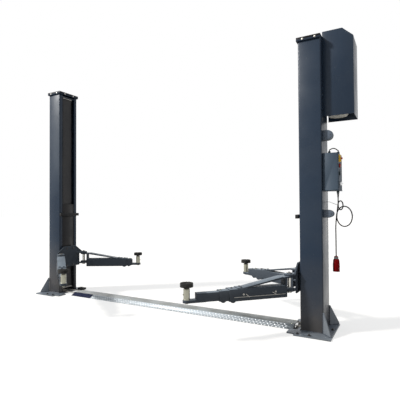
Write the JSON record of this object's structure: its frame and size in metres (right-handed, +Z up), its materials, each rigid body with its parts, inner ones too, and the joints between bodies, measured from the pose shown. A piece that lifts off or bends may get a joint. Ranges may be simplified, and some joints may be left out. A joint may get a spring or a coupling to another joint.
{
  "type": "two post car lift",
  "caption": "Two post electromechanical car lift with a low floor cover, a motor cover and a control box on the power post, and telescopic swing arms with rubber pads.",
  "frame": {"origin": "floor point under the power post's lift screw, on the base plate's underside", "axes": "+X from the plain post towards the power post and its motor, +Y from the front to the back, +Z up"},
  "size_m": [3.875, 1.5817, 2.7],
  "materials": {
    "frame_paint": "semi-gloss grey blue",
    "carriage_paint": "satin dark",
    "cover_steel": "galvanised sheet",
    "bright_steel": "machined",
    "zinc_plate": "zinc plated",
    "rubber": "matt",
    "curtain": "matt",
    "motor_grey": "satin",
    "yellow_plastic": "satin",
    "red_plastic": "satin",
    "dark_plastic": "satin",
    "cable_black": "matt"
  },
  "bodies": {
    "root": {"base_plate_left": "frame_paint", "post_left": "frame_paint", "post_lid_left": "carriage_paint", "slot_curtain_left": "curtain", "lift_screw_left": "bright_steel", "base_plate_right": "frame_paint", "post_right": "frame_paint", "post_lid_right": "carriage_paint", "slot_curtain_right": "curtain", "lift_screw_right": "bright_steel", "drive_chain": "bright_steel", "floor_cover": "cover_steel", "motor_cover": "frame_paint", "motor": "motor_grey", "control_box": "frame_paint", "switch_plate": "yellow_plastic", "limit_switch_upper": "frame_paint", "limit_switch_lower": "frame_paint", "control_cable": "cable_black", "cord_hook": "bright_steel", "power_cord": "cable_black", "power_plug": "red_plastic"},
    "lift_carriage_right": {"carriage_right": "carriage_paint", "yoke_right": "frame_paint", "bump_bar_right": "rubber"},
    "lift_carriage_left": {"carriage_left": "carriage_paint", "yoke_left": "frame_paint", "bump_bar_left": "rubber"},
    "swing_arm_front_left": {"arm_outer_front_left": "frame_paint"},
    "middle_stage_front_left": {"arm_middle_front_left": "frame_paint"},
    "inner_stage_front_left": {"arm_inner_front_left": "frame_paint", "pad_barrel_front_left": "zinc_plate"},
    "pad_front_left": {"lift_pad_front_left": "rubber"},
    "swing_arm_front_right": {"arm_outer_front_right": "frame_paint"},
    "middle_stage_front_right": {"arm_middle_front_right": "frame_paint"},
    "inner_stage_front_right": {"arm_inner_front_right": "frame_paint", "pad_barrel_front_right": "zinc_plate"},
    "pad_front_right": {"lift_pad_front_right": "rubber"},
    "swing_arm_rear_left": {"arm_outer_rear_left": "frame_paint"},
    "middle_stage_rear_left": {"arm_middle_rear_left": "frame_paint"},
    "inner_stage_rear_left": {"arm_inner_rear_left": "frame_paint", "pad_barrel_rear_left": "zinc_plate"},
    "pad_rear_left": {"lift_pad_rear_left": "rubber"},
    "swing_arm_rear_right": {"arm_outer_rear_right": "frame_paint"},
    "middle_stage_rear_right": {"arm_middle_rear_right": "frame_paint"},
    "inner_stage_rear_right": {"arm_inner_rear_right": "frame_paint", "pad_barrel_rear_right": "zinc_plate"},
    "pad_rear_right": {"lift_pad_rear_right": "rubber"},
    "main_switch": {"switch_knob": "red_plastic"},
    "red_push": {"red_button": "red_plastic"},
    "dark_push": {"dark_button": "dark_plastic"}
  },
  "joints": [
    {"name": "carriage_travel_right", "type": "slide", "parent": "root", "child": "lift_carriage_right", "axis": [0, 0, 1], "range_m": [-0.265, 1.4]},
    {"name": "carriage_travel_left", "type": "slide", "parent": "root", "child": "lift_carriage_left", "axis": [0, 0, 1], "range_m": [-0.265, 1.4]},
    {"name": "arm_swing_front_left", "type": "hinge", "parent": "lift_carriage_left", "child": "swing_arm_front_left", "pos_m": [-3.1435, -0.195, 0.445], "axis": [0, 0, -1], "range_deg": [-34.3, 40.7]},
    {"name": "middle_slide_front_left", "type": "slide", "parent": "swing_arm_front_left", "child": "middle_stage_front_left", "axis": [0.7738, -0.6334, 0], "range_m": [-0.16, 0.14]},
    {"name": "inner_slide_front_left", "type": "slide", "parent": "middle_stage_front_left", "child": "inner_stage_front_left", "axis": [0.7738, -0.6334, 0], "range_m": [-0.186, 0.094]},
    {"name": "pad_height_front_left", "type": "slide", "parent": "inner_stage_front_left", "child": "pad_front_left", "axis": [0, 0, 1], "range_m": [0, 0.06]},
    {"name": "arm_swing_front_right", "type": "hinge", "parent": "lift_carriage_right", "child": "swing_arm_front_right", "pos_m": [-0.1835, -0.195, 0.445], "axis": [0, 0, 1], "range_deg": [-41.1, 33.9]},
    {"name": "middle_slide_front_right", "type": "slide", "parent": "swing_arm_front_right", "child": "middle_stage_front_right", "axis": [-0.6934, -0.7206, 0], "range_m": [-0.025, 0.275]},
    {"name": "inner_slide_front_right", "type": "slide", "parent": "middle_stage_front_right", "child": "inner_stage_front_right", "axis": [-0.6934, -0.7206, 0], "range_m": [-0.187, 0.093]},
    {"name": "pad_height_front_right", "type": "slide", "parent": "inner_stage_front_right", "child": "pad_front_right", "axis": [0, 0, 1], "range_m": [0, 0.06]},
    {"name": "arm_swing_rear_left", "type": "hinge", "parent": "lift_carriage_left", "child": "swing_arm_rear_left", "pos_m": [-3.1435, 0.195, 0.445], "axis": [0, 0, 1], "range_deg": [-24.7, 50.3]},
    {"name": "middle_slide_rear_left", "type": "slide", "parent": "swing_arm_rear_left", "child": "middle_stage_rear_left", "axis": [0.8686, 0.4955, 0], "range_m": [0, 0.3]},
    {"name": "inner_slide_rear_left", "type": "slide", "parent": "middle_stage_rear_left", "child": "inner_stage_rear_left", "axis": [0.8686, 0.4955, 0], "range_m": [0, 0.28]},
    {"name": "pad_height_rear_left", "type": "slide", "parent": "inner_stage_rear_left", "child": "pad_rear_left", "axis": [0, 0, 1], "range_m": [0, 0.06]},
    {"name": "arm_swing_rear_right", "type": "hinge", "parent": "lift_carriage_right", "child": "swing_arm_rear_right", "pos_m": [-0.1835, 0.195, 0.445], "axis": [0, 0, -1], "range_deg": [-23, 52]},
    {"name": "middle_slide_rear_right", "type": "slide", "parent": "swing_arm_rear_right", "child": "middle_stage_rear_right", "axis": [-0.8829, 0.4695, 0], "range_m": [-0.022, 0.278]},
    {"name": "inner_slide_rear_right", "type": "slide", "parent": "middle_stage_rear_right", "child": "inner_stage_rear_right", "axis": [-0.8829, 0.4695, 0], "range_m": [-0.061, 0.219]},
    {"name": "pad_height_rear_right", "type": "slide", "parent": "inner_stage_rear_right", "child": "pad_rear_right", "axis": [0, 0, 1], "range_m": [0, 0.06]},
    {"name": "main_switch_turn", "type": "hinge", "parent": "root", "child": "main_switch", "pos_m": [0.2351, -0.04, 1.551], "axis": [-1, 0, 0], "range_deg": [0, 90]},
    {"name": "red_push_travel", "type": "slide", "parent": "root", "child": "red_push", "axis": [-1, 0, 0], "range_m": [0, 0.004], "stiffness_N_per_m": 800},
    {"name": "dark_push_travel", "type": "slide", "parent": "root", "child": "dark_push", "axis": [-1, 0, 0], "range_m": [0, 0.004], "stiffness_N_per_m": 800}
  ],
  "couplings": [
    {"joint": "carriage_travel_left", "follows": "carriage_travel_right", "ratio": 1}
  ]
}
